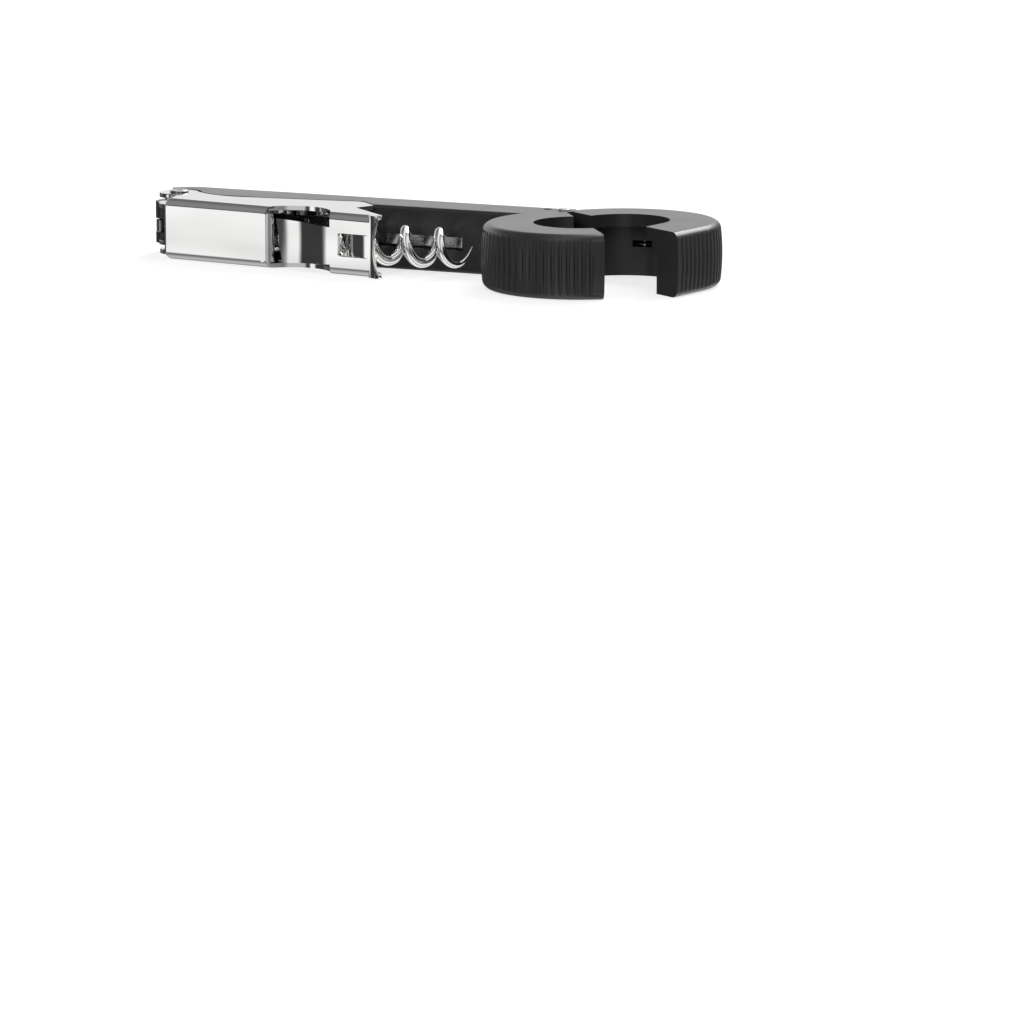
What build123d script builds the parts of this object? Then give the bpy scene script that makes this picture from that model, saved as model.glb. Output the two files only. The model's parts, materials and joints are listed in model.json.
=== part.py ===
from build123d import *
import os
from math import asin, cos, degrees, pi, radians, sin, sqrt

# Waiter's corkscrew: a moulded handle that ends in half of a foil-cutter ring, a second ring half
# hinged to it, a stamped boot lever and a folding worm.
# Millimetres, +Z up along every hinge pin. The origin is on the underside, on the handle's centre
# line, about midway between the lever pivot at -X and the jaw hinge at +X.

# Handle
handle_thickness = 14.5
handle_depth = 12.1
pivot_reach = 47.55
hinge_reach = 46.75
handle_end_reach = 6.6
handle_back_corner = handle_depth * 0.66
handle_front_corner = handle_depth * 0.25
handle_edge = 0.8

# Ring, its two jaws and their hinge
hinge_inset = 2.55
split_angle = -53.0
jaw_open_angle = 20.5
split_gap = 0.3
hinge_inside_rim = 0.4
fixed_inset = 1.2
moving_inset = 2.6
rim_radius = 21.5
rim_crown = 0.3
rim_edge = 1.9
ring_wall = 7.5
lip_width = 3.9
lip_thickness = 2.9
beak_angle = 24.5
groove_radius = 0.48
groove_depth = 0.5
groove_pitch = 1.73
groove_margin = 1.9
fixed_groove_start = 164.0
moving_groove_end = 170.0
knuckle_radius = 3.0
knuckle_thickness = 3.6
knuckle_clearance = 0.4
hinge_pin_diameter = 2.0
hinge_head_diameter = 2.9
hinge_head_height = 0.35
hinge_pin_recess = 0.2

# Jaw spring
spring_wire = 0.6
spring_mean_radius = 1.55
spring_pitch = 1.08
spring_whole_turns = 2
spring_anchor_distance = 4.0
spring_anchor_hole = 2.0
spring_leg_recess = 0.9
spring_leg_angle = -10.0
spring_leg_length = 6.0
spring_bend = 0.9
spring_side_room = 0.25
spring_end_room = 0.3
tongue_end_room = 0.25

# Cutting wheels
wheel_diameter = 5.6
wheel_thickness = 0.8
wheel_edge_thickness = 0.15
wheel_setback = 2.0
wheel_spread = 40.0
wheel_clearance = 0.35
axle_diameter = 1.6
axle_bottom = 0.4
axle_above_wheel = 3.0

# Boot lever
lever_pivot_forward = 4.6
lever_angle = -7.5
lever_top_inset = 0.05
lever_bottom_inset = 0.35
lever_sheet = 1.0
lever_bend = 1.8
eye_radius = 4.5
web_offset = 11.0
web_start = 3.7
web_end = 62.9
eye_back_angle = 42.0
eye_front_angle = 285.0
neck_depth = 0.1
neck_middle = 10.5
neck_end = 18.0
neck_end_height = 0.4
rear_prong_reach = 51.5
rear_prong_height = 4.3
rear_edge_setback = 5.7
rear_edge_height = 8.3
notch_setback = 1.2
notch_height = -1.1
rear_corner = 3.5
prong_corner = 0.6
notch_corner = 0.5
web_corner = 0.8
step_start = 32.1
step_end = 49.8
step_depth = 6.0
step_curl = 1.3
step_curl_room = 0.5
tongue_start = 34.4
tongue_slant = 1.4
tongue_dip = 1.4
tongue_dip_place = 39.3
tongue_rise = 0.5
tongue_sheet = 1.0
tongue_free_height = 10.1
tongue_root_height = 8.2
tongue_drop = 0.45
lifter_start = 51.9
lifter_end = 60.2
lifter_height = 5.3
lifter_corner = 0.6
lifter_tab_end_room = 0.7
lifter_tab_dip = 2.6
lifter_tab_room = 0.15
lip_flare = 0.7
lip_flare_length = 2.2
foot_scoop = 1.45
lever_recess_clearance = 0.4
eye_recess_clearance = 0.8
end_recess_angle = 128.0

# Lever pivot
pivot_rivet_diameter = 3.0
pivot_head_diameter = 4.5
pivot_upper_head = 0.45
pivot_lower_head = 0.3
pivot_dimple_diameter = 2.2
pivot_dimple_depth = 0.3
washer_diameter = 6.4
washer_gap = 1.1
washer_play = 0.1
running_clearance = 0.05

# Steel frame in the handle
plate_thickness = 1.0
plate_eye_radius = 4.7
plate_back = -1.6
plate_end = -2.5
lug_radius = 3.2
frame_rivet_x = -7.5
frame_rivet_y = -4.7
frame_rivet_diameter = 1.8
frame_rivet_head = 2.6
frame_rivet_head_height = 0.4

# Leaf spring and its slot
leaf_thickness = 0.8
leaf_height = 2.6
leaf_end = 24.2
leaf_hook_reach = 3.3
leaf_hook_angle = 250.0
leaf_room = 0.1
slot_height = 3.2
slot_end = 26.0
slot_back_room = 0.2

# Worm
worm_pivot_x = -24.0
worm_pivot_y = -12.8
worm_axis_height = 6.55
worm_wire = 2.45
worm_outer_diameter = 9.6
worm_pitch = 8.55
worm_length = 54.0
worm_shank = 1.0
worm_lead_turns = 1.0
worm_taper_turns = 0.5
worm_tip_radius = 0.18
worm_tip_phase = 275.0
worm_barrel_radius = 3.0
worm_barrel_play = 0.15
worm_pin_diameter = 3.0
worm_pin_proud = 0.35

# Heights that follow from the sizes above
mid_height = handle_thickness / 2
back_face = handle_depth / 2
front_face = -handle_depth / 2
flange_top = handle_thickness - lever_top_inset
flange_inner = flange_top - lever_sheet
plate_top = handle_thickness - lever_bottom_inset - lever_sheet - washer_gap
plate_bottom = plate_top - plate_thickness
upper_washer = flange_inner - plate_top - washer_play
lower_washer = washer_gap - washer_play
lip_floor = handle_thickness - lip_thickness

# Sizes of the ring and of the lever's foot that follow
bore_radius = rim_radius - ring_wall
lip_radius = bore_radius - lip_width
wheel_circle_radius = bore_radius + wheel_setback
ring_reach = rim_radius - hinge_inside_rim
groove_bottom_radius = rim_radius + rim_crown - groove_depth
groove_place_radius = groove_bottom_radius + groove_radius
groove_step = degrees(groove_pitch / groove_place_radius)
rear_edge_end = rear_prong_reach - rear_edge_setback
notch_reach = rear_prong_reach - notch_setback

# Places in plan
pivot = Vector(-pivot_reach, -lever_pivot_forward)
hinge = Vector(hinge_reach, back_face - hinge_inset)
worm_pivot = Vector(worm_pivot_x, worm_pivot_y)
frame_rivet_place = Vector(frame_rivet_x, frame_rivet_y)


def heading(angle):
    """Unit vector in plan at an angle in degrees from +X."""
    return Vector(cos(radians(angle)), sin(radians(angle)))


def plan_frame(origin, angle, height=0.0):
    """Horizontal plane through a plan point, with its x direction turned to an angle."""
    return Plane(origin=(origin.X, origin.Y, height), x_dir=heading(angle), z_dir=(0, 0, 1))


def radial_frame(centre, angle):
    """Upright plane through a vertical axis, with its x direction outward at an angle."""
    return Plane(origin=centre, x_dir=heading(angle), z_dir=heading(angle - 90))


fixed_frame = plan_frame(hinge, split_angle)
moving_frame = plan_frame(hinge, split_angle + jaw_open_angle)
lever_frame = plan_frame(pivot, lever_angle)
fixed_centre = fixed_frame.from_local_coords(Vector(ring_reach, -fixed_inset))
moving_centre = moving_frame.from_local_coords(Vector(ring_reach, moving_inset))
fixed_wheel_angles = [split_angle - 90 - wheel_spread, split_angle - 90 + wheel_spread]
moving_wheel_angles = [angle + 180 + jaw_open_angle for angle in fixed_wheel_angles]


def wheel_places():
    """Plan places of the four cutting wheels, two in each jaw, with the jaw that carries them."""
    fixed = [fixed_centre + heading(angle) * wheel_circle_radius for angle in fixed_wheel_angles]
    moving = [moving_centre + heading(angle) * wheel_circle_radius for angle in moving_wheel_angles]
    return fixed, moving


fixed_wheels, moving_wheels = wheel_places()


def draw_turns(points, directions):
    """Two tangent arcs between each pair of neighbouring points, with the given directions."""
    for i in range(len(points) - 1):
        chord = points[i + 1] - points[i]
        total = directions[i] + directions[i + 1]
        square = total.dot(total) - 4
        linear = -2 * chord.dot(total)
        reach = (-linear - sqrt(linear**2 - 4 * square * chord.dot(chord))) / (2 * square)
        before = points[i] + directions[i] * reach
        after = points[i + 1] - directions[i + 1] * reach
        middle = (before + after) * 0.5
        TangentArc(points[i], middle, tangent=directions[i])
        TangentArc(middle, points[i + 1], tangent=after - before)


def least_gap(points, wire, apart):
    """Least gap between stretches of a wire that are more than a given number of points apart."""
    gaps = []
    for i in range(len(points)):
        for j in range(i + apart, len(points)):
            gaps.append((points[i] - points[j]).length - wire)
    return min(gaps)


def write_part(part, name):
    """Label a finished piece and write it under its own name."""
    part.label = name
    export_step(part, f"parts/{name}.step")


os.makedirs("parts", exist_ok=True)


# Pins, rivets and washers, which the holes in the other pieces follow
with BuildPart() as lever_pivot_rivet:
    with BuildSketch(Plane.XY.offset(lever_bottom_inset - pivot_lower_head)):
        with Locations(pivot):
            Circle(pivot_head_diameter / 2)
    extrude(amount=pivot_lower_head - running_clearance)
    with BuildSketch(Plane.XY.offset(lever_bottom_inset - running_clearance)):
        with Locations(pivot):
            Circle(pivot_rivet_diameter / 2)
    extrude(amount=flange_top - lever_bottom_inset + 2 * running_clearance)
    with BuildSketch(Plane.XY.offset(flange_top + running_clearance)):
        with Locations(pivot):
            Circle(pivot_head_diameter / 2)
    extrude(amount=pivot_upper_head)
    upper_head = lever_pivot_rivet.faces().sort_by(Axis.Z)[-1]
    fillet(upper_head.edges(), pivot_upper_head * 0.6)
    with BuildSketch(Plane.XY.offset(flange_top + running_clearance + pivot_upper_head)):
        with Locations(pivot):
            Circle(pivot_dimple_diameter / 2)
    extrude(amount=-pivot_dimple_depth, taper=30, mode=Mode.SUBTRACT)
write_part(lever_pivot_rivet.part, "lever_pivot_rivet")

with BuildPart() as lever_washers:
    for level, thickness in (
        (plate_top, upper_washer),
        (handle_thickness - plate_top - lower_washer, lower_washer),
    ):
        with BuildSketch(Plane.XY.offset(level)):
            with Locations(pivot):
                Circle(washer_diameter / 2)
                Circle(pivot_rivet_diameter / 2 + running_clearance, mode=Mode.SUBTRACT)
        extrude(amount=thickness)
write_part(lever_washers.part, "lever_washers")

with BuildPart() as worm_pivot_pin:
    with BuildSketch(Plane.XY.offset(handle_thickness - plate_top - worm_pin_proud)):
        with Locations(worm_pivot):
            Circle(worm_pin_diameter / 2)
    extrude(amount=2 * (plate_top + worm_pin_proud) - handle_thickness)
    chamfer(worm_pivot_pin.edges().filter_by(GeomType.CIRCLE), worm_pin_proud * 0.6)
write_part(worm_pivot_pin.part, "worm_pivot_pin")

with BuildPart() as frame_rivet:
    with BuildSketch(Plane.XY.offset(handle_thickness - plate_top - frame_rivet_head_height)):
        with Locations(frame_rivet_place):
            Circle(frame_rivet_head / 2)
    extrude(amount=frame_rivet_head_height)
    with BuildSketch(Plane.XY.offset(handle_thickness - plate_top)):
        with Locations(frame_rivet_place):
            Circle(frame_rivet_diameter / 2)
    extrude(amount=2 * plate_top - handle_thickness)
    with BuildSketch(Plane.XY.offset(plate_top)):
        with Locations(frame_rivet_place):
            Circle(frame_rivet_head / 2)
    extrude(amount=frame_rivet_head_height)
write_part(frame_rivet.part, "frame_rivet")

with BuildPart() as jaw_hinge_pin:
    with BuildSketch(Plane.XY.offset(hinge_pin_recess)):
        with Locations(hinge):
            Circle(hinge_pin_diameter / 2)
    extrude(amount=handle_thickness - hinge_pin_recess)
    with BuildSketch(Plane.XY.offset(handle_thickness)):
        with Locations(hinge):
            Circle(hinge_head_diameter / 2)
    extrude(amount=hinge_head_height)
    fillet(jaw_hinge_pin.faces().sort_by(Axis.Z)[-1].edges(), hinge_head_height * 0.8)
write_part(jaw_hinge_pin.part, "jaw_hinge_pin")


# Cutting wheels on their axles
wheel_bottom = mid_height - wheel_thickness / 2
axle_top = wheel_bottom + wheel_thickness + axle_above_wheel
wheel_axles = []
for number, place in enumerate(fixed_wheels + moving_wheels, start=1):
    with BuildPart() as wheel_axle:
        with BuildSketch(Plane.XY.offset(axle_bottom)):
            with Locations(place):
                Circle(axle_diameter / 2)
        extrude(amount=axle_top - axle_bottom)
    write_part(wheel_axle.part, f"wheel_axle_{number}")
    wheel_axles.append(wheel_axle.part)

    with BuildPart() as cutting_wheel:
        with BuildSketch(radial_frame(place, 0)):
            with BuildLine():
                Polyline(
                    (axle_diameter / 2 + running_clearance, wheel_bottom),
                    (wheel_diameter / 4, wheel_bottom),
                    (wheel_diameter / 2, mid_height - wheel_edge_thickness / 2),
                    (wheel_diameter / 2, mid_height + wheel_edge_thickness / 2),
                    (wheel_diameter / 4, wheel_bottom + wheel_thickness),
                    (axle_diameter / 2 + running_clearance, wheel_bottom + wheel_thickness),
                    close=True,
                )
            make_face()
        revolve(axis=Axis(place, (0, 0, 1)))
    write_part(cutting_wheel.part, f"cutting_wheel_{number}")


# Steel frame plates, let into the handle from its front
def draw_plate():
    """Plan outline of one frame plate, with the lug that carries the worm pin."""
    with Locations(pivot):
        Circle(plate_eye_radius)
    with Locations(((pivot.X + plate_end) / 2, (front_face + plate_back) / 2)):
        Rectangle(plate_end - pivot.X, plate_back - front_face)
    with Locations((worm_pivot.X, (worm_pivot.Y + front_face) / 2)):
        Rectangle(2 * lug_radius, front_face - worm_pivot.Y)
    with Locations(worm_pivot):
        Circle(lug_radius)


frame_plates = []
for name, level in (
    ("frame_plate_upper", plate_bottom),
    ("frame_plate_lower", handle_thickness - plate_top),
):
    with BuildPart() as frame_plate:
        with BuildSketch(Plane.XY.offset(level)):
            draw_plate()
            for pin_place, diameter in (
                (pivot, pivot_rivet_diameter),
                (worm_pivot, worm_pin_diameter),
                (frame_rivet_place, frame_rivet_diameter),
            ):
                with Locations(pin_place):
                    Circle(diameter / 2, mode=Mode.SUBTRACT)
        extrude(amount=plate_thickness)
    write_part(frame_plate.part, name)
    frame_plates.append(frame_plate.part)


# Leaf spring: a strip that lies along the slot behind the worm and hooks round past the lever rivet
leaf_radius = pivot_rivet_diameter / 2 + leaf_room + leaf_thickness / 2
leaf_line_y = pivot.Y + leaf_radius
leaf_hook = pivot - Vector(leaf_hook_reach, 0)
with BuildPart() as lever_spring:
    with BuildSketch(Plane.XY.offset(worm_axis_height - leaf_height / 2)):
        with BuildLine() as leaf_line:
            Line((leaf_end, leaf_line_y), (leaf_hook.X, leaf_line_y))
            CenterArc(leaf_hook, leaf_radius, 90, leaf_hook_angle - 90)
            offset(amount=leaf_thickness / 2, side=Side.BOTH)
        make_face()
    extrude(amount=leaf_height)
write_part(lever_spring.part, "lever_spring")


# Boot lever: a channel pressed from sheet, drawn flat in the frame of its web
def eye_point(angle):
    """Point on the rim of the lever's eye."""
    return heading(angle) * eye_radius


def draw_lever_outline():
    """Face of a lever flange, seen along the pivot."""
    with BuildLine() as outline:
        web_line = Line((web_start, -web_offset), (web_end, -web_offset))
        Line(web_line @ 1, (web_end, lever_bend - web_offset))
        prong_line = Line((web_end, lever_bend - web_offset), (notch_reach, notch_height))
        notch_line = Line(prong_line @ 1, (rear_prong_reach, rear_prong_height))
        tip_line = Line(notch_line @ 1, (rear_edge_end, rear_edge_height))
        rear_line = Line(tip_line @ 1, (neck_end, neck_end_height))
        neck_arc = ThreePointArc(rear_line @ 1, (neck_middle, neck_depth), eye_point(eye_back_angle))
        eye_middle = eye_point((eye_back_angle + eye_front_angle) / 2)
        eye_arc = ThreePointArc(neck_arc @ 1, eye_middle, eye_point(eye_front_angle))
        Line(eye_arc @ 1, web_line @ 0)
    make_face(outline.edges())


web_middle = Plane(
    origin=lever_frame.from_local_coords(Vector(0, -web_offset, mid_height)),
    x_dir=lever_frame.x_dir,
    z_dir=-lever_frame.y_dir,
)
step_radius = (((step_end - step_start) / 2) ** 2 + step_depth**2) / (2 * step_depth)
step_centre = ((step_start + step_end) / 2, step_depth - step_radius - web_offset)
tongue_face = tongue_sheet / 2 - web_offset
lip_face = lever_sheet / 2 - web_offset

# Curved tongue left standing in the first step
with BuildPart() as step_tongue:
    with BuildSketch(lever_frame.offset(mid_height - tongue_drop - tongue_free_height / 2)):
        with BuildLine():
            Line((step_end + tongue_sheet, tongue_face), (step_end, tongue_face))
            bend_out = ((step_end + tongue_dip_place) / 2, tongue_face + tongue_dip / 2)
            root_arc = TangentArc((step_end, tongue_face), bend_out, tangent=(-1, 0))
            dip_point = (tongue_dip_place, tongue_face + tongue_dip)
            TangentArc(bend_out, dip_point, tangent=root_arc % 1)
            free_end = (tongue_start - tongue_sheet, tongue_face + tongue_dip - tongue_rise)
            TangentArc(dip_point, free_end, tangent=(-1, 0))
            offset(amount=tongue_sheet / 2, side=Side.BOTH)
        make_face()
    extrude(amount=tongue_free_height)
    with BuildSketch(web_middle):
        with BuildLine():
            Polyline(
                (tongue_start + tongue_slant, -tongue_free_height / 2 - tongue_drop),
                (step_end + 2 * tongue_sheet, -tongue_root_height / 2 - tongue_drop),
                (step_end + 2 * tongue_sheet, tongue_root_height / 2 - tongue_drop),
                (tongue_start, tongue_free_height / 2 - tongue_drop),
                close=True,
            )
        make_face()
    extrude(amount=web_offset, both=True, mode=Mode.INTERSECT)

# Web's end at the step, curled inward
step_curl_height = flange_inner - lever_bottom_inset - lever_sheet - 2 * step_curl_room
with BuildPart() as curled_edge:
    with BuildSketch(lever_frame.offset(mid_height - step_curl_height / 2)):
        with BuildLine():
            curl_start = (step_start - step_curl / 2, lip_face)
            Line((step_start - step_curl, lip_face), curl_start)
            TangentArc(curl_start, (step_start + step_curl / 2, lip_face + step_curl), tangent=(1, 0))
            offset(amount=lever_sheet / 2, side=Side.BOTH)
        make_face()
    extrude(amount=step_curl_height)

# Tab turned in from the cap lifter's window
lifter_tab_height = lifter_height - 2 * lifter_tab_room
with BuildPart() as lifter_tab:
    with BuildSketch(lever_frame.offset(mid_height - lifter_tab_height / 2)):
        with BuildLine():
            Line((lifter_end + tongue_sheet / 2, tongue_face), (lifter_end, tongue_face))
            tab_end = (lifter_start + lifter_tab_end_room, tongue_face + lifter_tab_dip)
            TangentArc((lifter_end, tongue_face), tab_end, tangent=(-1, 0))
            offset(amount=tongue_sheet / 2, side=Side.BOTH)
        make_face()
    extrude(amount=lifter_tab_height)

# Lip flared outward at the lever's foot, and the round of the hollow cut across its end
flange_height = flange_top - lever_bottom_inset
scoop_radius = ((flange_height / 2) ** 2 + foot_scoop**2) / (2 * foot_scoop)
with BuildPart() as foot_lip:
    with BuildSketch(lever_frame.offset(lever_bottom_inset)):
        with BuildLine():
            flare_start = (web_end - lip_flare_length, lip_face)
            TangentArc(flare_start, (web_end, lip_face - lip_flare), tangent=(1, 0))
            offset(amount=lever_sheet / 2, side=Side.BOTH)
        make_face()
    extrude(amount=flange_height)

with BuildPart() as boot_lever:
    with BuildSketch(lever_frame.offset(lever_bottom_inset)) as flange:
        draw_lever_outline()
        for corner, radius in (
            ((rear_edge_end, rear_edge_height), rear_corner),
            ((rear_prong_reach, rear_prong_height), prong_corner),
            ((notch_reach, notch_height), notch_corner),
            ((web_start, -web_offset), web_corner),
        ):
            fillet(flange.vertices().sort_by_distance(corner)[0], radius)
    extrude(amount=flange_height)
    bends = boot_lever.edges().filter_by(
        lambda edge: abs(lever_frame.to_local_coords(edge.center()).Y + web_offset) < lever_bend / 100
    )
    fillet(bends.filter_by(GeomType.LINE).filter_by(Axis.Z, reverse=True), lever_bend)
    with BuildSketch(lever_frame.offset(lever_bottom_inset + lever_sheet)):
        with Locations((web_end / 2, handle_depth - web_offset + lever_sheet)):
            Rectangle(web_end * 2, handle_depth * 2)
    extrude(amount=flange_inner - lever_bottom_inset - lever_sheet, mode=Mode.SUBTRACT)
    with BuildSketch(lever_frame):
        with Locations(step_centre):
            Circle(step_radius)
    extrude(amount=handle_thickness, mode=Mode.SUBTRACT)
    with BuildSketch(web_middle):
        with Locations(((lifter_start + lifter_end) / 2, 0)):
            RectangleRounded(lifter_end - lifter_start, lifter_height, lifter_corner)
    extrude(amount=-lever_sheet * 2, mode=Mode.SUBTRACT)
    with BuildSketch(lever_frame):
        Circle(pivot_rivet_diameter / 2 + running_clearance)
    extrude(amount=handle_thickness, mode=Mode.SUBTRACT)
    add(step_tongue.part)
    add(curled_edge.part)
    add(lifter_tab.part)
    add(foot_lip.part)
    with BuildSketch(web_middle):
        with Locations((web_end - foot_scoop + scoop_radius, 0)):
            Circle(scoop_radius)
    extrude(amount=lever_sheet + lever_bend, both=True, mode=Mode.SUBTRACT)
write_part(boot_lever.part, "boot_lever")


# Worm: a wire that swings out from its barrel into an open helix and tapers to a point
worm_mean_radius = (worm_outer_diameter - worm_wire) / 2
helix_start = worm_pivot.X + worm_barrel_radius + worm_shank
worm_tip_x = worm_pivot.X + worm_length
worm_turns = (worm_tip_x - helix_start) / worm_pitch
worm_start_phase = worm_tip_phase - 360 * worm_turns


def worm_point(turn):
    """Point on the worm's middle line after a number of turns from the end of its shank."""
    rise = min(turn / worm_lead_turns, 1)
    radius = worm_mean_radius * rise**2 * (3 - 2 * rise)
    phase = radians(worm_start_phase + 360 * turn)
    return Vector(
        helix_start + worm_pitch * turn,
        worm_pivot.Y - radius * sin(phase),
        worm_axis_height + radius * cos(phase),
    )


def worm_direction(turn, step=1e-5):
    """Direction of the worm's middle line."""
    start = max(turn - step, 0)
    return (worm_point(turn + step) - worm_point(start)).normalized()


taper_start = worm_turns - worm_taper_turns
quarter_count = round(taper_start * 4)
wound_turns = [taper_start * i / quarter_count for i in range(quarter_count + 1)]
taper_steps = 6
worm_bore_radius = worm_pin_diameter / 2 + running_clearance
worm_root = worm_pivot + Vector((worm_bore_radius + worm_barrel_radius) / 2, 0, worm_axis_height)
with BuildPart() as worm:
    with BuildLine() as wire_line:
        wound_points = [worm_point(turn) for turn in wound_turns]
        Line(worm_root, wound_points[0])
        draw_turns(wound_points, [worm_direction(turn) for turn in wound_turns])
    with BuildSketch(Plane(origin=wire_line.line @ 0, z_dir=wire_line.line % 0)):
        Circle(worm_wire / 2)
    sweep()
    for i in range(taper_steps + 1):
        turn = taper_start + worm_taper_turns * i / taper_steps
        place = worm_point(turn)
        outward = Vector(0, place.Y - worm_pivot.Y, place.Z - worm_axis_height)
        side = worm_direction(turn).cross(outward)
        share = i / taper_steps
        with BuildSketch(Plane(origin=place, x_dir=side, z_dir=worm_direction(turn))):
            Circle(worm_wire / 2 + (worm_tip_radius - worm_wire / 2) * share)
    loft()
    with BuildSketch(Plane.XY.offset(handle_thickness - plate_bottom + worm_barrel_play)):
        with Locations(worm_pivot):
            Circle(worm_barrel_radius)
            Circle(worm_bore_radius, mode=Mode.SUBTRACT)
    extrude(amount=2 * (plate_bottom - worm_barrel_play) - handle_thickness)
write_part(worm.part, "worm")

points_per_turn = 24
worm_samples = [worm_point(i / points_per_turn) for i in range(int(worm_turns * points_per_turn))]
print("worm least gap to itself", round(least_gap(worm_samples, worm_wire, points_per_turn // 2), 2))


# Jaw spring: a torsion spring round the hinge pin, one leg up in the handle, one in the outer jaw
anchor = hinge - Vector(spring_anchor_distance, 0)
lead_angle = degrees(asin(spring_mean_radius / spring_anchor_distance))
coil_start_angle = 90 + lead_angle
coil_end_angle = 90 + spring_leg_angle
coil_turns = spring_whole_turns + (coil_start_angle - coil_end_angle) / 360
coil_height = coil_turns * spring_pitch
coil_bottom = mid_height - coil_height / 2
spring_gap = coil_height + spring_wire + 2 * spring_end_room


def coil_point(turn):
    """Point on the spring's middle line, wound clockwise and climbing."""
    spot = hinge + heading(coil_start_angle - 360 * turn) * spring_mean_radius
    return Vector(spot.X, spot.Y, coil_bottom + spring_pitch * turn)


def coil_direction(turn):
    """Direction of the spring's middle line."""
    flat = heading(coil_start_angle - 360 * turn - 90) * (2 * pi * spring_mean_radius)
    return Vector(flat.X, flat.Y, spring_pitch).normalized()


coil_steps = round(coil_turns * 4)
coil_shares = [coil_turns * i / coil_steps for i in range(coil_steps + 1)]
lead_length = sqrt(spring_anchor_distance**2 - spring_mean_radius**2)
with BuildPart() as jaw_spring:
    with BuildLine() as spring_line:
        lead_corner = coil_point(0) - coil_direction(0) * lead_length
        leg_top = Vector(lead_corner.X, lead_corner.Y, handle_thickness - spring_leg_recess)
        bend_top = lead_corner + Vector(0, 0, spring_bend)
        bend_end = lead_corner + coil_direction(0) * spring_bend
        Line(leg_top, bend_top)
        TangentArc(bend_top, bend_end, tangent=(0, 0, -1))
        Line(bend_end, coil_point(0))
        draw_turns([coil_point(t) for t in coil_shares], [coil_direction(t) for t in coil_shares])
        leg_start = coil_point(coil_turns)
        Line(leg_start, leg_start + coil_direction(coil_turns) * spring_leg_length)
    with BuildSketch(Plane(origin=leg_top, z_dir=(0, 0, -1))):
        Circle(spring_wire / 2)
    sweep()
write_part(jaw_spring.part, "jaw_spring")

coil_samples = [coil_point(i / points_per_turn) for i in range(int(coil_turns * points_per_turn))]
print("jaw spring least gap to itself", round(least_gap(coil_samples, spring_wire, points_per_turn // 2), 2))


# Ring section and grip grooves, shared by the two jaws
def draw_ring_section(hollow):
    """Half section of the ring: crowned outside, with or without the bore under its lip."""
    with BuildLine() as section:
        ThreePointArc(
            (rim_radius, rim_edge),
            (rim_radius + rim_crown, mid_height),
            (rim_radius, handle_thickness - rim_edge),
        )
        top_edge = CenterArc((rim_radius - rim_edge, handle_thickness - rim_edge), rim_edge, 0, 90)
        bottom_edge = CenterArc((rim_radius - rim_edge, rim_edge), rim_edge, -90, 90)
        if hollow:
            Polyline(
                top_edge @ 1,
                (lip_radius, handle_thickness),
                (lip_radius, lip_floor),
                (bore_radius, lip_floor),
                (bore_radius, 0),
                bottom_edge @ 0,
            )
        else:
            Polyline(top_edge @ 1, (0, handle_thickness), (0, 0), bottom_edge @ 0)
    make_face(section.edges())


def fixed_groove_places():
    """Grip grooves of the fixed jaw, counted back from its mouth."""
    last = split_angle + 360 - degrees(groove_margin / groove_place_radius)
    count = int((last - fixed_groove_start) / groove_step) + 1
    return [fixed_centre + heading(last - groove_step * i) * groove_place_radius for i in range(count)]


def moving_groove_places():
    """Grip grooves of the outer jaw: first along its straight beak, then round its arc."""
    turn = split_angle + jaw_open_angle
    beak_drop = moving_inset + groove_place_radius * sin(radians(beak_angle)) - split_gap / 2
    beak_run = beak_drop / cos(radians(beak_angle))
    arc_run = radians(moving_groove_end - beak_angle) * groove_place_radius
    beak_root = moving_centre + heading(turn + beak_angle) * groove_place_radius
    places = []
    for i in range(int((beak_run + arc_run - groove_margin) / groove_pitch) + 1):
        run = groove_margin + groove_pitch * i
        if run < beak_run:
            places.append(beak_root + heading(turn + beak_angle - 90) * (beak_run - run))
        else:
            angle = beak_angle + degrees((run - beak_run) / groove_place_radius)
            places.append(moving_centre + heading(turn + angle) * groove_place_radius)
    return places


pocket_height = wheel_thickness + 2 * wheel_clearance
tongue_gap_height = handle_thickness - 2 * knuckle_thickness

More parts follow.
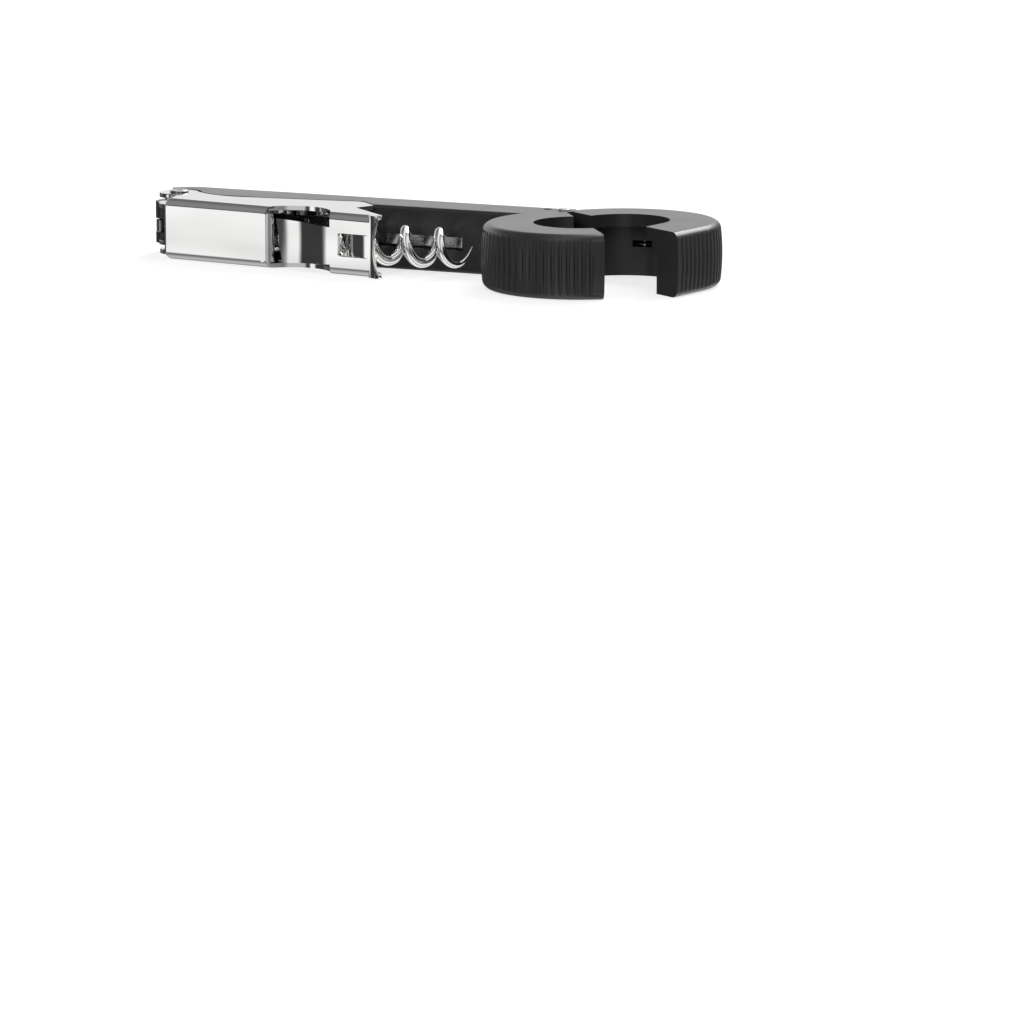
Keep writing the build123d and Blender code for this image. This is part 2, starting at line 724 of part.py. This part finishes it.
# Handle: a bar with the fixed half of the ring moulded on its end
with BuildPart() as handle_body:
    with BuildSketch() as bar:
        bar_start = pivot.X - handle_end_reach
        bar_end = hinge.X + bore_radius / 2
        with Locations(((bar_start + bar_end) / 2, 0)):
            Rectangle(bar_end - bar_start, handle_depth)
        fillet(bar.vertices().group_by(Axis.X)[0].sort_by(Axis.Y)[-1], handle_back_corner)
        fillet(bar.vertices().group_by(Axis.Y)[0].sort_by(Axis.X)[0], handle_front_corner)
    extrude(amount=handle_thickness)
    fillet(handle_body.faces().filter_by(Axis.Z).edges(), handle_edge)
    with BuildSketch(radial_frame(fixed_centre, split_angle - 90)):
        draw_ring_section(hollow=False)
    revolve(axis=Axis(fixed_centre, (0, 0, 1)))
    with BuildSketch():
        with Locations(fixed_centre):
            Circle(bore_radius)
    extrude(amount=lip_floor, mode=Mode.SUBTRACT)
    with BuildSketch():
        with Locations(fixed_centre):
            Circle(lip_radius)
    extrude(amount=handle_thickness, mode=Mode.SUBTRACT)
    split(
        bisect_by=Plane(origin=hinge - fixed_frame.y_dir * (split_gap / 2), z_dir=fixed_frame.y_dir),
        keep=Keep.BOTTOM,
    )
    with BuildSketch(Plane.XY.offset(knuckle_thickness)):
        with Locations(hinge):
            Circle(knuckle_radius + knuckle_clearance)
    extrude(amount=tongue_gap_height, mode=Mode.SUBTRACT)
    for level in (0, handle_thickness - knuckle_thickness):
        with BuildSketch(Plane.XY.offset(level)):
            with Locations(hinge):
                Circle(knuckle_radius)
            with Locations((hinge.X, 0)):
                Rectangle(4 * knuckle_radius, handle_depth, mode=Mode.INTERSECT)
        extrude(amount=knuckle_thickness)
    for level in (0, plate_top):
        with BuildSketch(lever_frame.offset(level)):
            draw_lever_outline()
            offset(amount=lever_recess_clearance)
            Circle(eye_radius + eye_recess_clearance)
        extrude(amount=handle_thickness - plate_top, mode=Mode.SUBTRACT)
        with BuildSketch(plan_frame(pivot, end_recess_angle, level)):
            with Locations((0, handle_depth)):
                Rectangle(4 * handle_depth, 2 * handle_depth)
        extrude(amount=handle_thickness - plate_top, mode=Mode.SUBTRACT)
    with BuildSketch(Plane.XY.offset(worm_axis_height - slot_height / 2)):
        slot_back = leaf_line_y + leaf_thickness / 2 + slot_back_room
        with Locations(((bar_start + slot_end) / 2, (front_face + slot_back) / 2)):
            Rectangle(slot_end - bar_start, slot_back - front_face)
    extrude(amount=slot_height, mode=Mode.SUBTRACT)
    with BuildSketch(Plane.XY.offset(mid_height - pocket_height / 2)):
        with Locations(*fixed_wheels):
            Circle(wheel_diameter / 2 + wheel_clearance)
    extrude(amount=pocket_height, mode=Mode.SUBTRACT)
    with BuildSketch():
        with Locations(*fixed_groove_places()):
            Circle(groove_radius)
    extrude(amount=handle_thickness, mode=Mode.SUBTRACT)
    with BuildSketch(Plane.XY.offset(coil_bottom - spring_wire / 2 - spring_end_room)):
        with Locations(anchor):
            Circle(spring_anchor_hole / 2)
    extrude(amount=handle_thickness, mode=Mode.SUBTRACT)
    with BuildSketch(Plane.XY.offset(coil_bottom - spring_wire / 2 - spring_end_room)):
        with Locations(anchor + Vector(spring_anchor_distance / 2, 0)):
            Rectangle(spring_anchor_distance, spring_anchor_hole)
    extrude(amount=spring_gap, mode=Mode.SUBTRACT)
    for piece in frame_plates + wheel_axles[:2]:
        add(piece, mode=Mode.SUBTRACT)
    for pin in (lever_pivot_rivet, frame_rivet, jaw_hinge_pin):
        add(pin.part, mode=Mode.SUBTRACT)
write_part(handle_body.part, "handle_body")


# Outer jaw: the other half of the ring, drawn where the spring holds it open
with BuildPart() as outer_jaw:
    beak_heading = split_angle + jaw_open_angle + beak_angle
    with BuildSketch(radial_frame(moving_centre, beak_heading)) as jaw_section:
        draw_ring_section(hollow=True)
    extrude(amount=bore_radius)
    revolve(jaw_section.sketch, axis=Axis(moving_centre, (0, 0, 1)), revolution_arc=180)
    split(
        bisect_by=Plane(origin=hinge + moving_frame.y_dir * (split_gap / 2), z_dir=moving_frame.y_dir),
        keep=Keep.TOP,
    )
    tongue_low = knuckle_thickness + tongue_end_room
    tongue_high = handle_thickness - tongue_low
    for low, high in (
        (0, tongue_low),
        (mid_height - spring_gap / 2, mid_height + spring_gap / 2),
        (tongue_high, handle_thickness),
    ):
        with BuildSketch(Plane.XY.offset(low)):
            with Locations(hinge):
                Circle(knuckle_radius + knuckle_clearance)
        extrude(amount=high - low, mode=Mode.SUBTRACT)
    for low, high in ((tongue_low, mid_height - spring_gap / 2), (mid_height + spring_gap / 2, tongue_high)):
        with BuildSketch(Plane.XY.offset(low)):
            with Locations(hinge):
                Circle(knuckle_radius)
        extrude(amount=high - low)
    with BuildSketch():
        with Locations(hinge):
            Circle(hinge_pin_diameter / 2 + running_clearance)
    extrude(amount=handle_thickness, mode=Mode.SUBTRACT)
    leg_width = spring_wire + 2 * spring_side_room
    leg_height = coil_bottom + coil_height - leg_width / 2
    with BuildSketch(plan_frame(leg_start, spring_leg_angle, leg_height)):
        with Locations((spring_leg_length / 2, 0)):
            Rectangle(spring_leg_length + leg_width, leg_width)
    extrude(amount=2 * leg_width, mode=Mode.SUBTRACT)
    with BuildSketch(Plane.XY.offset(mid_height - pocket_height / 2)):
        with Locations(*moving_wheels):
            Circle(wheel_diameter / 2 + wheel_clearance)
    extrude(amount=pocket_height, mode=Mode.SUBTRACT)
    with BuildSketch():
        with Locations(*moving_groove_places()):
            Circle(groove_radius)
    extrude(amount=handle_thickness, mode=Mode.SUBTRACT)
    for piece in wheel_axles[2:]:
        add(piece, mode=Mode.SUBTRACT)
write_part(outer_jaw.part, "outer_jaw")
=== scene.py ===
# %% [markdown]
# # A waiter's corkscrew in Blender
# The solids of this tool come from a CAD model, so Blender has no shape of theirs to guess. What is left
# for this file is what the eye reads: the finish of each metal and of the moulding, the softness of the
# edges, a smoothed copy of the spring's wire, the light, and the camera.
# The first cell loads the imported model.

# %% Load the imported model
import json
import math

import bpy
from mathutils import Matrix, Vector


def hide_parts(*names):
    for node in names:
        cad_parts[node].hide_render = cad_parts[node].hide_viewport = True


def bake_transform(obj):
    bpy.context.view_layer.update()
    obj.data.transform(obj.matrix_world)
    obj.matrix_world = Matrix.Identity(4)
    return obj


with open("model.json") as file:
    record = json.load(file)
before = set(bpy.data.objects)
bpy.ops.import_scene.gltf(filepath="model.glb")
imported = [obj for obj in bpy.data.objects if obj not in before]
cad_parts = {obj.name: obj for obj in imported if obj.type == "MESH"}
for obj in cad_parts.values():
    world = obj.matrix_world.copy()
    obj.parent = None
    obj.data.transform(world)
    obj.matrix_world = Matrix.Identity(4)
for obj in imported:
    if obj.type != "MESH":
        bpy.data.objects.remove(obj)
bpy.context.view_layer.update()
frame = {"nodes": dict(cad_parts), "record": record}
nodes = frame["nodes"]
MM = 0.001

# %% [markdown]
# ## Camera
# The tool lies flat and is seen from a little above and from its ring's side, through a long lens, which
# keeps its near and its far end at almost the same scale.
# The camera could be aimed with a constraint, but a fixed place and turn say the same thing with nothing
# to solve.

# %% Camera
camera_data = bpy.data.cameras.new("long_lens")
camera = bpy.data.objects.new("camera", camera_data)
bpy.context.scene.collection.objects.link(camera)
camera_data.sensor_width = 36.0
camera_data.lens = 200.39
camera.location = (0.5807, -1.1574, 0.1817)
camera.rotation_euler = (math.radians(79.513), 0.0, math.radians(25.224))
bpy.context.scene.camera = camera
print("camera stands", round(camera.location.length, 2), "m from the tool")

# %% [markdown]
# ## Helpers
# Colours are written as they look on a screen, in sRGB hex, and shaders work in linear light, so one
# function turns the first into the second. A second one adds a shader node, sets it up and links it, and
# a third one starts a material. Nodes could be wired line by line instead, but this way each material
# below reads as a list of what it is made of.


# %% Helpers for colours and nodes
def linear(code):
    """Linear red, green, blue and alpha of an sRGB hex code."""
    channels = [int(code[i:i + 2], 16) / 255 for i in (1, 3, 5)]
    return (*[c / 12.92 if c <= 0.04045 else ((c + 0.055) / 1.055) ** 2.4 for c in channels], 1.0)


def add(tree, kind, inputs=None, stops=(), **settings):
    """Add a node, set its properties and colour stops, then set or link its inputs."""
    node = tree.nodes.new(kind)
    for index, (spot, code) in enumerate(stops):
        marks = node.color_ramp.elements
        mark = marks[index] if index < len(marks) else marks.new(spot)
        mark.position = spot
        mark.color = linear(code)
    for name, value in settings.items():
        setattr(node, name, value)
    for name, value in (inputs or {}).items():
        if isinstance(value, bpy.types.NodeSocket):
            tree.links.new(value, node.inputs[name])
        else:
            node.inputs[name].default_value = value
    return node


def new_material(name):
    """A material with an empty node tree, and its output."""
    material = bpy.data.materials.new(name)
    material.use_nodes = True
    material.node_tree.nodes.clear()
    return material, material.node_tree, material.node_tree.nodes.new("ShaderNodeOutputMaterial")


print("mid grey on a screen is", round(linear("#808080")[0], 3), "in linear light")

# %% [markdown]
# ## Satin black moulding
# The handle and the ring are injection-moulded ABS. The mould was lightly blasted, which leaves a fine
# grain: it takes the mirror out of the surface, but at a low angle the skin still shows a grey sheen.
# One flat black would be quicker, but it would look like a hole in the picture, so tone and gloss drift a
# little over the surface, and the grain is a shallow bump.

# %% Moulded ABS
# Blasted grain is about 0.1 mm on the real skin; it is drawn at 0.35 mm so that it shows.
GRAIN_SIZE = 0.35 * MM
GRAIN_DEPTH = 0.03 * MM
DRIFT_SIZE = 9 * MM
abs_black, tree, output = new_material("moulded_abs_satin_black")
place = add(tree, "ShaderNodeTexCoord").outputs["Object"]
grain = add(tree, "ShaderNodeTexNoise", {"Vector": place, "Scale": 1 / GRAIN_SIZE, "Detail": 3.0})
drift = add(tree, "ShaderNodeTexNoise", {"Vector": place, "Scale": 1 / DRIFT_SIZE, "Detail": 4.0})
gloss = add(tree, "ShaderNodeMapRange", {"Value": drift.outputs["Fac"], "To Min": 0.24, "To Max": 0.33})
tone = add(tree, "ShaderNodeMix", {"Factor": drift.outputs["Fac"]}, data_type="RGBA")
tone.inputs["A"].default_value = linear("#28282a")
tone.inputs["B"].default_value = linear("#323233")
skin = add(
    tree,
    "ShaderNodeBump",
    {"Height": grain.outputs["Fac"], "Strength": 0.08, "Distance": GRAIN_DEPTH},
)
shader = add(
    tree,
    "ShaderNodeBsdfPrincipled",
    {
        "Base Color": tone.outputs["Result"],
        "Roughness": gloss.outputs["Result"],
        "Normal": skin.outputs["Normal"],
        "IOR": 1.53,
    },
)
tree.links.new(shader.outputs["BSDF"], output.inputs["Surface"])
print("made:", abs_black.name)

# %% [markdown]
# ## Bright plated sheet
# The lever and the plates are pressed from steel sheet and nickel-chrome plated, and so is the worm's
# wire. Plating is a mirror with a little waviness from the press and a faint haze from handling.
# A plain mirror would look like a drawing of metal. So the haze is a change of roughness, and the waviness
# is a long, shallow bump that bends reflections instead of breaking them.

# %% Nickel-chrome plated steel
HAZE_SIZE = 6 * MM
WAVE_LENGTH = 60 * MM
WAVE_SPACING = 14 * MM
WAVE_DEPTH = 0.4 * MM
plated, tree, output = new_material("nickel_chrome_plated_steel")
place = add(tree, "ShaderNodeTexCoord").outputs["Object"]
haze = add(tree, "ShaderNodeTexNoise", {"Vector": place, "Scale": 1 / HAZE_SIZE, "Detail": 5.0})
gloss = add(tree, "ShaderNodeMapRange", {"Value": haze.outputs["Fac"], "To Min": 0.03, "To Max": 0.09})
stretch = (WAVE_SPACING / WAVE_LENGTH, 1.0, 1.0)
along = add(tree, "ShaderNodeMapping", {"Vector": place, "Scale": stretch}).outputs["Vector"]
wave = add(tree, "ShaderNodeTexNoise", {"Vector": along, "Scale": 1 / WAVE_SPACING, "Detail": 1.0})
press = add(
    tree,
    "ShaderNodeBump",
    {"Height": wave.outputs["Fac"], "Strength": 1.0, "Distance": WAVE_DEPTH},
)
shader = add(
    tree,
    "ShaderNodeBsdfPrincipled",
    {
        "Base Color": linear("#f6f6f5"),
        "Metallic": 1.0,
        "Roughness": gloss.outputs["Result"],
        "Normal": press.outputs["Normal"],
    },
)
tree.links.new(shader.outputs["BSDF"], output.inputs["Surface"])
print("made:", plated.name)

# %% [markdown]
# ## Drawn steel
# Pins, springs, wheels and axles are bare steel that was drawn or turned. Fine marks left by the tool make
# the reflection soft, so this steel is greyer and duller than the plated sheet beside it. The marks could
# be a bump, but on pieces this small a change of roughness is enough.

# %% Drawn and turned steel
# Tool marks are about 0.1 mm apart on such steel; they are drawn at 0.5 mm so that they show.
MARK_SIZE = 0.5 * MM
drawn, tree, output = new_material("drawn_bright_steel")
place = add(tree, "ShaderNodeTexCoord").outputs["Object"]
tool_marks = add(tree, "ShaderNodeTexNoise", {"Vector": place, "Scale": 1 / MARK_SIZE, "Detail": 4.0})
gloss = add(tree, "ShaderNodeMapRange", {"Value": tool_marks.outputs["Fac"], "To Min": 0.1, "To Max": 0.2})
shader = add(
    tree,
    "ShaderNodeBsdfPrincipled",
    {"Base Color": linear("#c4c4c3"), "Metallic": 1.0, "Roughness": gloss.outputs["Result"]},
)
tree.links.new(shader.outputs["BSDF"], output.inputs["Surface"])
print("made:", drawn.name)

# %% [markdown]
# ## Finishes on the solids
# The record of the model says which material slot each solid has. Finishes could be given solid by solid,
# but by slot none is forgotten.

# %% Give every solid its finish
finishes = {
    "handle_plastic": abs_black,
    "plated_steel": plated,
    "worm_steel": plated,
    "pin_steel": drawn,
    "spring_steel": drawn,
    "blade_steel": drawn,
}
slots = {row["node"]: row["material_slot"] for row in frame["record"]["subparts"]}
for name, solid in nodes.items():
    solid.data.materials.clear()
    solid.data.materials.append(finishes[slots[name]])
print("finished:", sorted(set(slots.values())))

# %% [markdown]
# ## Softened edges
# Pressed, plated sheet has no knife edges: each one is a narrow round that catches a line of light.
# A Bevel modifier adds that round without touching the mesh of the solid. The triangles of a CAD mesh are
# loose, so a Weld modifier joins them first, and a planar Decimate joins the triangles of each flat into
# one face, so that the bevel finds only real edges. Weighted normals then keep the flats flat.

# %% Round the edges of the plated pieces
WELD_REACH = 0.001 * MM
FLAT_ANGLE = math.radians(0.5)
EDGE_ANGLE = math.radians(40)
EDGE_ROUND = 0.14 * MM
rounded = [name for name, slot in slots.items() if slot == "plated_steel"]
for name in rounded:
    weld = nodes[name].modifiers.new("join_triangles", "WELD")
    weld.merge_threshold = WELD_REACH
    flatten = nodes[name].modifiers.new("join_flats", "DECIMATE")
    flatten.decimate_type = "DISSOLVE"
    flatten.angle_limit = FLAT_ANGLE
    round_over = nodes[name].modifiers.new("edge_round", "BEVEL")
    round_over.width = EDGE_ROUND
    round_over.segments = 3
    round_over.limit_method = "ANGLE"
    round_over.angle_limit = EDGE_ANGLE
    nodes[name].modifiers.new("flat_flats", "WEIGHTED_NORMAL")
print("edges rounded on:", rounded)

# %% [markdown]
# ## The ring's spring
# A torsion spring is wound round the ring's hinge pin. One leg stands in the handle and the other lies in
# the hinged half, so the coil takes up the twist when the ring is squeezed. A solid that rides on one body
# can't do that, and its leg would cut through the hinged half. Here a copy of the wire is made with its
# points joined and its shading smoothed, and the spring's own solid is hidden.

# %% A copy of the spring's wire
spring = bpy.data.objects.new("jaw_spring_wire", nodes["jaw_spring"].data.copy())
bpy.context.scene.collection.objects.link(spring)
bpy.ops.object.select_all(action="DESELECT")
spring.select_set(True)
bpy.context.view_layer.objects.active = spring
bpy.ops.object.mode_set(mode="EDIT")
bpy.ops.mesh.select_all(action="SELECT")
bpy.ops.mesh.remove_doubles(threshold=WELD_REACH)
bpy.ops.object.mode_set(mode="OBJECT")
bpy.ops.object.shade_smooth_by_angle(angle=EDGE_ANGLE)
print("spring wire:", len(spring.data.vertices), "points")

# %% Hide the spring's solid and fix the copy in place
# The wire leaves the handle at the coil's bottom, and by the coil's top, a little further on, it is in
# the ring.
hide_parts("jaw_spring")
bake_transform(spring)

# %% [markdown]
# ## Floor
# A pale floor takes the shadow, and for the camera it is lifted to white. The metal doesn't see the floor:
# it sees the room round it, as it would on a stand in a studio. Bright plating has no colour of its own,
# so all that it shows is what stands round it, and a room that is white on every side would make it look
# like paper.

# %% Floor
FLOOR_WIDTH = 8.0
CAMERA_LIFT = 0.68
bpy.ops.object.select_all(action="DESELECT")
bpy.ops.mesh.primitive_plane_add(size=FLOOR_WIDTH, location=(0, 0, 0))
floor = bpy.context.object
floor.name = "floor"
floor.visible_glossy = False
paper, tree, output = new_material("white_paper_sweep")
ray = add(tree, "ShaderNodeLightPath")
lit = add(tree, "ShaderNodeBsdfDiffuse", {"Color": linear("#bcbcbc")})
lift = add(
    tree,
    "ShaderNodeMath",
    {0: ray.outputs["Is Camera Ray"], 1: CAMERA_LIFT},
    operation="MULTIPLY",
)
glow = add(tree, "ShaderNodeEmission", {"Strength": lift.outputs["Value"]})
both = add(tree, "ShaderNodeAddShader", {0: lit.outputs["BSDF"], 1: glow.outputs["Emission"]})
tree.links.new(both.outputs["Shader"], output.inputs["Surface"])
floor.data.materials.append(paper)
print("floor:", floor.name, "- seen by the camera, not by the metal")

# %% [markdown]
# ## The room
# The room that lights the tool, and that the plating mirrors, is painted by direction alone. A picture of
# a real room could do it too, but this needs no file. A direction is read by its compass bearing, by its
# height from -1, straight down, to 1, straight up, and by how far it goes across (X) and away (Y).

# %% Directions in the room
world = bpy.data.worlds.new("studio")
bpy.context.scene.world = world
world.use_nodes = True
tree = world.node_tree
tree.nodes.clear()
output = tree.nodes.new("ShaderNodeOutputWorld")
place = add(tree, "ShaderNodeTexCoord")
way = add(tree, "ShaderNodeSeparateXYZ", {"Vector": place.outputs["Generated"]})
height = way.outputs["Z"]
angle = add(tree, "ShaderNodeMath", {0: way.outputs["Y"], 1: way.outputs["X"]}, operation="ARCTAN2")
bearing = add(
    tree,
    "ShaderNodeMapRange",
    {"Value": angle.outputs["Value"], "From Min": -math.pi, "From Max": math.pi},
)
across = add(tree, "ShaderNodeMapRange", {"Value": way.outputs["X"], "From Min": -1.0})
away = add(tree, "ShaderNodeMapRange", {"Value": way.outputs["Y"], "From Min": -1.0})
print("directions: bearing, height, across and away")

# %% [markdown]
# ## Cards
# Low down, dark cards stand to both sides of one white card: the lever's flat web faces the white card,
# and its tongue, tab and edges, which turn away from it, pick up the dark ones. Photographers draw the
# edges of shiny things in this way. Real cards could stand in the scene, but painted ones can't get into
# the picture. They darken a little towards the floor.


# %% Cards round the tool
def at(degrees):
    """Place of a compass bearing from +X on the ring of cards."""
    return degrees / 360 + 0.5


cards = add(
    tree,
    "ShaderNodeValToRGB",
    {"Fac": bearing.outputs["Result"]},
    stops=[
        (at(-180), "#5e5e5e"),
        (at(-172), "#3c3c3c"),
        (at(-144), "#3c3c3c"),
        (at(-138), "#ffffff"),
        (at(-127), "#ffffff"),
        (at(-123), "#484848"),
        (at(-114), "#484848"),
        (at(-108), "#c4c4c4"),
        (at(-64), "#c4c4c4"),
        (at(-50), "#7c7c7c"),
        (at(20), "#9a9a9a"),
        (at(95), "#9a9a9a"),
        (at(115), "#5e5e5e"),
        (at(180), "#5e5e5e"),
    ],
)
fall = add(
    tree,
    "ShaderNodeMapRange",
    {"Value": height, "From Min": -0.2, "From Max": -0.115, "To Min": 0.7, "To Max": 1.0},
)
shaded = add(
    tree,
    "ShaderNodeMixRGB",
    {"Fac": 1.0, "Color1": cards.outputs["Color"], "Color2": fall.outputs["Result"]},
    blend_type="MULTIPLY",
)
print("cards:", len(cards.color_ramp.elements), "stops")

# %% [markdown]
# ## Walls
# Behind the tool a white wall reaches up to a grey ceiling. It gives the moulding the sheen along its top,
# and a band of it that is a little greyer shows in the sheet. In front the wall is grey. One even wall
# would be simpler, but it would leave the top and the front of the tool alike.

# %% Walls in front and behind
front = add(
    tree,
    "ShaderNodeValToRGB",
    {"Fac": height},
    stops=[(0.0, "#3a3a3a"), (0.1, "#3a3a3a"), (0.22, "#828282"), (0.8, "#828282"), (0.95, "#4a4a4a")],
)
back = add(
    tree,
    "ShaderNodeValToRGB",
    {"Fac": height},
    stops=[
        (0.07, "#ffffff"),
        (0.1, "#e8e8e8"),
        (0.16, "#e8e8e8"),
        (0.2, "#ffffff"),
        (0.38, "#ffffff"),
        (0.5, "#a4a4a4"),
        (0.6, "#6a6a6a"),
    ],
)
turn = add(tree, "ShaderNodeMapRange", {"Value": way.outputs["Y"], "From Min": -0.25, "From Max": 0.15})
walls = add(
    tree,
    "ShaderNodeMixRGB",
    {"Fac": turn.outputs["Result"], "Color1": front.outputs["Color"], "Color2": back.outputs["Color"]},
)
print("walls:", len(front.color_ramp.elements), "and", len(back.color_ramp.elements), "stops")

# %% [markdown]
# ## The open side
# To the right and over the tool the room is open and pale, with a few long lights in it. From other sides
# the plating mirrors this part, and with nothing there it would look flat.

# %% Open side with long lights
ceiling = add(
    tree,
    "ShaderNodeValToRGB",
    {"Fac": height},
    stops=[(0.0, "#6c6c6c"), (0.1, "#868686"), (0.32, "#e6e6e6"), (1.0, "#f6f6f6")],
)
strips = add(
    tree,
    "ShaderNodeValToRGB",
    {"Fac": across.outputs["Result"]},
    stops=[
        (0.45, "#ffffff"),
        (0.56, "#ffffff"),
        (0.68, "#8c8c8c"),
        (0.72, "#8c8c8c"),
        (0.8, "#ffffff"),
        (0.86, "#ffffff"),
        (0.94, "#9c9c9c"),
    ],
)
lights = add(
    tree,
    "ShaderNodeMixRGB",
    {"Fac": 1.0, "Color1": ceiling.outputs["Color"], "Color2": strips.outputs["Color"]},
    blend_type="MULTIPLY",
)
side = add(tree, "ShaderNodeMapRange", {"Value": way.outputs["X"], "From Min": -0.4, "From Max": -0.1})
high = add(
    tree,
    "ShaderNodeMixRGB",
    {"Fac": side.outputs["Result"], "Color1": walls.outputs["Color"], "Color2": lights.outputs["Color"]},
)
print("long lights:", len(strips.color_ramp.elements), "stops")

# %% [markdown]
# ## Ground
# To the left the ground is pale underfoot and grey further off, with a paler patch across its middle. To
# the right it shows the long lights again, as a polished floor would. The real floor could be mirrored
# instead, but it is one white, and the lower bends of the sheet need greys.

# %% Ground
depth = add(tree, "ShaderNodeMath", {0: 1.0, 1: height}, operation="ADD")
ground = add(
    tree,
    "ShaderNodeValToRGB",
    {"Fac": depth.outputs["Value"]},
    stops=[(0.0, "#f0f0f0"), (0.15, "#c4c4c4"), (0.3, "#a0a0a0"), (0.42, "#7e7e7e"), (0.55, "#6c6c6c")],
)
patch = add(
    tree,
    "ShaderNodeValToRGB",
    {"Fac": away.outputs["Result"]},
    stops=[(0.4, "#000000"), (0.5, "#a0a0a0"), (0.6, "#c0c0c0"), (0.72, "#000000")],
)
left_ground = add(
    tree,
    "ShaderNodeMixRGB",
    {"Fac": 1.0, "Color1": ground.outputs["Color"], "Color2": patch.outputs["Color"]},
    blend_type="LIGHTEN",
)
carpet = add(
    tree,
    "ShaderNodeMixRGB",
    {
        "Fac": side.outputs["Result"],
        "Color1": left_ground.outputs["Color"],
        "Color2": strips.outputs["Color"],
    },
)
sink = add(tree, "ShaderNodeMapRange", {"Value": height, "From Min": -0.2, "From Max": -0.4})
low = add(
    tree,
    "ShaderNodeMixRGB",
    {"Fac": sink.outputs["Result"], "Color1": shaded.outputs["Color"], "Color2": carpet.outputs["Color"]},
)
print("ground:", len(ground.color_ramp.elements), "stops, patch:", len(patch.color_ramp.elements))

# %% [markdown]
# ## One world
# The low half, with its cards and ground, and the high half, with its walls, meet at the horizon. The
# camera itself sees plain white, because the room is there only to light the tool and to be mirrored.

# %% Join the halves
climb = add(tree, "ShaderNodeMapRange", {"Value": height, "From Min": -0.03, "From Max": 0.02})
room = add(
    tree,
    "ShaderNodeMixRGB",
    {"Fac": climb.outputs["Result"], "Color1": low.outputs["Color"], "Color2": high.outputs["Color"]},
)
ray = add(tree, "ShaderNodeLightPath")
shown = add(
    tree,
    "ShaderNodeMixRGB",
    {"Fac": ray.outputs["Is Camera Ray"], "Color1": room.outputs["Color"], "Color2": linear("#ffffff")},
)
sky = add(tree, "ShaderNodeBackground", {"Color": shown.outputs["Color"], "Strength": 1.0})
tree.links.new(sky.outputs["Background"], output.inputs["Surface"])
print("world:", world.name, "with", len(tree.nodes), "nodes")

# %% [markdown]
# ## Lamps
# A large soft lamp stands behind the tool and above it, and a weaker one fills the front. The plating
# would show the second as a white patch along every bend, so it is kept out of the reflections. Small
# lamps would do too, but they draw hard shadows.

# %% Lights
TOOL_MIDDLE = Vector((0.02, -0.01, 0.0))


def softbox(name, spot, size, watts):
    """A square area lamp that faces the tool."""
    lamp = bpy.data.lights.new(name, "AREA")
    lamp.shape = "SQUARE"
    lamp.size = size
    lamp.energy = watts
    holder = bpy.data.objects.new(name, lamp)
    bpy.context.scene.collection.objects.link(holder)
    holder.location = spot
    holder.rotation_euler = (TOOL_MIDDLE - Vector(spot)).to_track_quat("-Z", "Y").to_euler()
    return holder


key = softbox("key_back", spot=(0.2, 1.05, 0.95), size=0.9, watts=13.0)
fill = softbox("fill_front", spot=(-0.2, -1.3, 0.7), size=0.8, watts=6.5)
fill.visible_glossy = False
print("lamps:", key.name, fill.name)

# %% [markdown]
# ## Size and finish
# The Standard view shows colours as they are written.

# %% Set the colour view
bpy.context.scene.view_settings.view_transform = "Standard"
